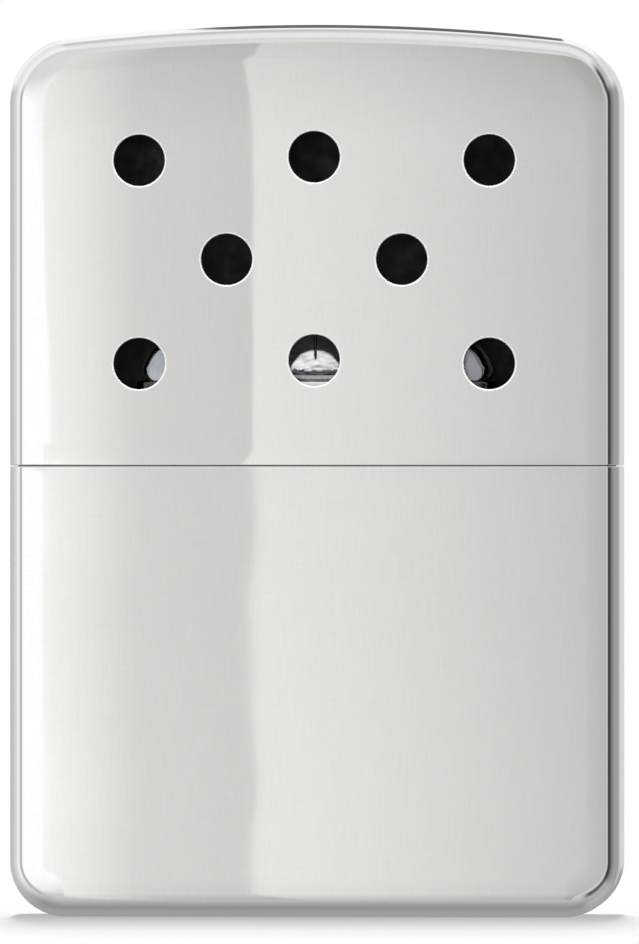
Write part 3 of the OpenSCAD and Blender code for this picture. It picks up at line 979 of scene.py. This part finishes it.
# ---- the studio
CAMERA_AZIMUTH = radians(2.93)
CAMERA_DISTANCE = 1500.0
CAMERA_SHIFT = (0.0016, -0.0011)
VIEW_HEIGHT = 78.45  # what the picture's long side takes in at the front face
SENSOR = 24.0
SHADOW_LEVEL = 0.06  # of the world, for whatever isn't the camera, metal or glass
TENT_RADIUS = 2.0  # m
TENT_TINT = (0.965, 0.985, 1.02)
TENT = (  # levels by the degrees from the front, at the right, upper right, top, upper left, left and so on
    ((0, 0.58), (12, 0.52), (16, 0.58), (19, 0.8), (23, 0.5), (29, 0.05), (42, 0.06), (54, 0.22), (76, 0.36),
     (103, 0.39), (117, 0.35), (136, 0.56), (170, 0.62), (177, 0.72), (180, 0.6)),
    ((0, 0.52), (8, 0.55), (13, 0.75), (18, 0.3), (25, 0.08), (36, 0.1), (46, 0.5), (65, 0.55), (78, 0.7),
     (92, 0.88), (105, 0.74), (135, 0.8), (180, 0.7)),
    ((0, 0.66), (17, 0.71), (25, 0.84), (34, 0.89), (52, 0.9), (63, 0.83), (76, 0.64), (86, 0.6), (94, 0.9),
     (101, 1.08), (180, 1.0)),
    ((0, 0.8), (20, 0.76), (30, 0.74), (36, 0.82), (44, 1.0), (56, 0.98), (80, 0.88), (100, 0.9), (120, 1.02),
     (146, 1.02), (156, 0.66), (180, 0.6)),
    ((0, 1.12), (25, 1.12), (31, 0.6), (37, 0.42), (43, 0.62), (51, 0.98), (58, 0.98), (70, 0.83), (86, 0.71),
     (101, 0.63), (120, 0.58), (180, 0.54)),
    ((0, 0.66), (16, 0.66), (30, 0.64), (42, 0.57), (56, 0.44), (69, 0.35), (83, 0.31), (97, 0.36), (123, 0.39),
     (142, 0.39), (160, 0.31), (180, 0.29)),
    ((0, 0.56), (14, 0.58), (19, 0.82), (24, 0.45), (31, 0.1), (40, 0.12), (50, 0.45), (60, 0.5), (66, 0.38),
     (76, 0.5), (90, 0.48), (130, 0.42), (180, 0.35)),
)
FLAG_LEVEL = (0.15, 0.15, 0.15)
CARD_DISTANCE = 390.0  # of the front cards from the case, mm
CARD_LOW, CARD_HIGH = -0.3, 0.115  # m
TABLE_REACH = 6.0  # m
TABLE_LIFT = 0.48  # light that the camera sees the table give, above what the lamps give it


def camera():
    data = bpy.data.cameras.new("camera")
    data.sensor_width = SENSOR
    data.lens = SENSOR * (CAMERA_DISTANCE - HALF_D) / VIEW_HEIGHT
    data.clip_start = 0.01
    data.shift_x, data.shift_y = CAMERA_SHIFT
    eye = added("camera", data)
    middle = Vector((0, 0, TOP / 2)) * MM
    back = Vector((sin(CAMERA_AZIMUTH), -cos(CAMERA_AZIMUTH), 0))
    eye.location = middle + back * CAMERA_DISTANCE * MM
    eye.rotation_mode = "QUATERNION"
    eye.rotation_quaternion = (-back).to_track_quat("-Z", "Y")
    bpy.context.scene.camera = eye
    return eye


def sun(name, azimuth, elevation, spread_angle, light):
    """A distant lamp that gives a facing white surface the level light."""
    data = bpy.data.lights.new(name, "SUN")
    data.energy = light * pi
    data.angle = radians(spread_angle)
    lamp = added(name, data)
    a, e = radians(azimuth), radians(elevation)
    towards = Vector((sin(a) * cos(e), -cos(a) * cos(e), sin(e)))
    lamp.rotation_mode = "QUATERNION"
    lamp.rotation_quaternion = towards.to_track_quat("Z", "Y")
    lamp.visible_glossy = False
    return lamp


def spare(lamp, piece):
    """Keeps a lamp's light and shadows off one piece."""
    group = bpy.data.collections.new(f"not_lit_by_{lamp.name}")
    group.objects.link(piece)
    group.collection_objects[0].light_linking.link_state = "EXCLUDE"
    lamp.light_linking.receiver_collection = group


def world():
    """White where the camera, metal and glass look, and dim for the shadows."""
    w = bpy.data.worlds.new("studio")
    n = Nodes(w)
    rays = n.rays()
    seen = n.math("MAXIMUM", rays["Is Camera Ray"], rays["Is Glossy Ray"])
    seen = n.math("MAXIMUM", seen, rays["Is Transmission Ray"])
    background = n.nodes["Background"].inputs
    n.feed((1, 1, 1), background["Color"])
    n.feed(n.scaled(seen, 0, 1, SHADOW_LEVEL, 1.0), background["Strength"])
    bpy.context.scene.world = w


def stage_surface(name, points, faces, material, unseen):
    """A piece of the studio, left out of the kinds of light named in unseen."""
    mesh = bpy.data.meshes.new(name)
    mesh.from_pydata(points, [], faces)
    mesh.materials.append(material)
    piece = added(name, mesh)
    for kind in unseen:
        setattr(piece, f"visible_{kind}", False)
    return piece


class Glow(Finish):
    """Even light from a studio surface, which fades when it has already lit something dull."""

    def __init__(self, name):
        super().__init__(name)
        self.nodes.remove(self.shader)
        self.light = self.nodes.new("ShaderNodeEmission")
        self.links.new(self.light.outputs[0], self.nodes["Material Output"].inputs["Surface"])
        self.feed(self.math("LESS_THAN", self.rays()["Diffuse Depth"], 0.5), self.light.inputs["Strength"])

    def reflector(self, points, faces, level, filter_colour):
        """A surface that only polished metal sees, with the level light through a filter."""
        self.feed(self.mix(1.0, level, filter_colour, "MULTIPLY"), self.light.inputs["Color"])
        unseen = ("camera", "diffuse", "shadow", "transmission")
        return stage_surface(self.material.name, points, faces, self.material, unseen)


def tent_level(f):
    """Light tent, by the turn away from the front and by the clock: right 0, top 90, left 180, bottom -90."""
    x, y, z = f.axes()[:3]
    off = f.math("SQRT", f.math("ADD", f.math("MULTIPLY", x, x), f.math("MULTIPLY", z, z)))
    turn = f.scaled(f.math("ARCTAN2", off, f.math("MULTIPLY", y, -1)), 0, pi)
    clock = f.math("MULTIPLY", f.math("ARCTAN2", z, x), 180 / pi)

    def levels(stops):
        return f.ramp(turn, [(from_front / 180, level) for from_front, level in stops])

    right, upper_right, top, upper_left, left, bottom, lower_right = map(levels, TENT)

    def round_the_clock(level, *sectors):
        for start, end, beyond in sectors:
            level = f.mix(f.step(clock, start, end), level, beyond)
        return level

    upper = round_the_clock(right, (14, 26, upper_right), (42, 58, top), (102, 112, upper_left), (156, 170, left))
    lower = round_the_clock(bottom, (-74, -58, lower_right), (-34, -22, right), (-116, -166, left))
    level = f.mix(f.math("LESS_THAN", z, 0), upper, lower)
    flag = f.math("MULTIPLY", f.step(clock, 80, 84), f.step(clock, 95.6, 94.2))
    flag = f.math("MULTIPLY", flag, levels(((106, 0), (111, 1), (180, 1))))
    return f.mix(flag, level, FLAG_LEVEL)


def tent():
    """A ball of light round everything, seen only in the metal."""
    ball = Skin()
    rows = []
    for e in spread(-pi / 2, pi / 2, 24):
        row = [Vector((cos(e) * sin(a), -cos(e) * cos(a), sin(e))) * TENT_RADIUS for a in turns(48)]
        rows.append(ball.plain_row(row))
    ball.loft(rows, closed=True)
    f = Glow("tent")
    piece = f.reflector(ball.points, ball.faces, tent_level(f), TENT_TINT)
    piece.location.z = TOP / 2 * MM
    piece.rotation_euler.z = CAMERA_AZIMUTH


def mirrored_x(eye, face_x):
    """Where on the front cards the camera sees into, by its reflection at face_x."""
    eye_x, eye_y = eye.location.x / MM, eye.location.y / MM
    run = -HALF_D - eye_y
    return face_x + (face_x - eye_x) * CARD_DISTANCE / run


def card(name, left, right, levels, eye):
    """A front card whose reflection covers the face from left to right, mm, graded through levels."""
    x0, x1 = mirrored_x(eye, left) * MM, mirrored_x(eye, right) * MM
    y = -(HALF_D + CARD_DISTANCE) * MM
    f = Glow(name)
    level = f.ramp(f.scaled(f.axes()[0], x0, x1), levels)
    up = f.ramp(f.scaled(f.axes()[2], CARD_LOW, CARD_HIGH), [
        (0, 0.72), (0.24, 0.82), (0.46, 0.94), (0.63, 1.0), (0.71, 1.04), (0.81, 1.0), (0.895, 0.98),
        (0.922, 0.84), (1, 0.8),
    ])
    corners = [(x0, y, CARD_LOW), (x1, y, CARD_LOW), (x1, y, CARD_HIGH), (x0, y, CARD_HIGH)]
    f.reflector(corners, [(0, 1, 2, 3)], level, up)


def table():
    """White table top, lifted to white where the camera sees it. The metal sees the tent in its place."""
    f = Finish("table")
    f.set("Base Color", f.between(f.noise(40), 0.935, 0.945))
    f.set("Roughness", 0.9)
    f.set("Specular IOR Level", 0.0)
    f.set("Emission Color", (1, 1, 1))
    f.set("Emission Strength", f.math("MULTIPLY", f.rays()["Is Camera Ray"], TABLE_LIFT))
    corners = [(x * TABLE_REACH, y * TABLE_REACH, 0) for x, y in ((-1, -1), (1, -1), (1, 1), (-1, 1))]
    return stage_surface("table", corners, [(0, 1, 2, 3)], f.material, ("glossy", "diffuse"))


# ---- the materials in use
# the case's unpolished inside, painted dark as shade, and the punched edges of its vents, painted near-white and
# matt as a highlight round each vent
painted_shade_inside = metal("case_inside_painted_shade", 0.85, (160, 5), (0.075, 0.07, 0.06), (0.15, 0.14, 0.125),
                   (700, 4), 0.38, 0.6, (2400, 4, (1, 1, 0.3)), 4e-6)
# painted highlight: a near-white matt colour that stands in for the bright ring round each vent
painted_highlight_rim = metal("vent_rim_painted_highlight", 0.1, (4000, 4), (0.93, 0.93, 0.92), (0.98, 0.98, 0.97), (1500, 3), 0.5, 0.6)

# the collar and neck, the burner's tray with a painted highlight in its middle and painted shade at its ends, and
# the burner's thin sheet with its cut edges, browned by the heat
plated = brushed_metal("plated_sheet", (0.06, 1, 1), plating, 0.16, 0.3, 6e-7)
tray = brushed_metal("burner_tray", (0.06, 1, 1), painted_lit_middle_shaded_ends, 0.12, 0.25, 4e-7)
burner_metals = [
    brushed_metal("burner_sheet", (1, 1, 0.25), heat_tint, 0.2, 0.34, 8e-7),
    metal("scorched_edge", 0.8, (900,), (0.09, 0.085, 0.08), (0.2, 0.18, 0.16), (2500,), 0.4, 0.6),
]

# dark oxidised wire, and the core's perforated steel, a little scorched
wire = metal("wire_steel", 0.9, (3000,), (0.05, 0.045, 0.04), (0.12, 0.105, 0.09), (5000,), 0.4, 0.6, (9000,), 2e-6)
perforated = metal("core_steel", 1.0, (500,), (0.36, 0.34, 0.31), (0.55, 0.53, 0.5),
                   (2500,), 0.25, 0.45, (4000,), 1e-6)

# wadding, wick and mat
cotton = fibre("cotton", (0.78, 0.76, 0.71), (0.93, 0.92, 0.89), 1500, 4e-5)
felt = fibre("felt", (0.62, 0.56, 0.43), (0.85, 0.8, 0.68), 2600, 3e-5)
# height up to which the mat's foot is painted dark as shade
painted_shade_to = (HOUSING_FOOT + WINDOW_LIP + PAINTED_SHADE_H) * MM
catalyst = fibre("catalyst_fibre", 0.5, (0.86, 0.87, 0.87), 3600, 2e-5, 0.0, painted_shade_to)


# ---- putting it together
def place(piece, body, slot, *nodes):
    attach(piece, body)
    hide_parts(*nodes)
    return piece


for part, half, centres, smooth, rubbed in (
    ("cover", CaseHalf(1, SEAM_HIGH, TOP, TOP_CORNER_R, CROWN_RISE, EDGE_R), vent_centres(), 0.012, 0.02),
    ("tank", CaseHalf(-1, SEAM_LOW, 0.0, FOOT_CORNER_R, 0.0, FOOT_R), [], 0.026, 0.036),
):
    finishes = [polished_case(f"polished_{part}", smooth, rubbed), painted_shade_inside, painted_highlight_rim]
    place(case_half(f"{part}_case", half, centres, finishes), part, "polished_case", f"{part}_shell")
place(tank_collar([plated]), "tank", "plated_sheet", "tank_collar")
place(filler_neck([plated]), "tank", "plated_sheet", "filler_neck")
place(burner_base([tray]), "burner", "plated_sheet", "burner_base")
for way, face, wrapped in (("front", -1, False), ("rear", 1, True)):
    half = housing_half(f"burner_{way}_half", face, burner_metals, wrapped)
    place(half, "burner", "burner_sheet", f"burner_{way}_shell")
for way in ("front", "rear"):
    node = f"{way}_mat_wire"
    place(mat_wire(f"{way}_wire", node, [wire]), "burner", "wire_steel", node)

place(catalyst_mat([catalyst]), "burner", "catalyst_fibre", "catalyst_mat")
place(felt_pad([felt]), "tank", "felt", "wick_felt")
for seed, level in enumerate(("lower", "upper")):
    for side in ("left", "right"):
        node = f"wadding_{level}_{side}"
        low, high = box_mm(node)
        wad = soft_block(f"cotton_{level}_{side}", low, high, 7, 0.045, 3 * seed + (side == "left"), [cotton])
        place(wad, "tank", "cotton", node)

core = frame["nodes"]["mat_core_mesh"]
core.data.materials.clear()
core.data.materials.append(perforated)

eye = camera()
world()
tent()
card("patch_card", -22.6, -5.1, [(0, 0.97), (0.14, 0.9), (0.45, 0.71), (1, 0.66)], eye)
card("front_card", -5.1, 60, [(0, 0.86), (0.146, 0.79), (0.35, 0.66), (0.485, 0.57), (1, 0.52)], eye)
spare(sun("key", 0, 29, 4, 1.15), table())
for elevation, level in ((84, 0.1), (76, 0.1), (68, 0.12), (60, 0.12), (51, 0.1)):
    sun(f"top_{elevation}", 180 + degrees(CAMERA_AZIMUTH), elevation, 6, level)
bpy.context.scene.view_settings.view_transform = "Standard"
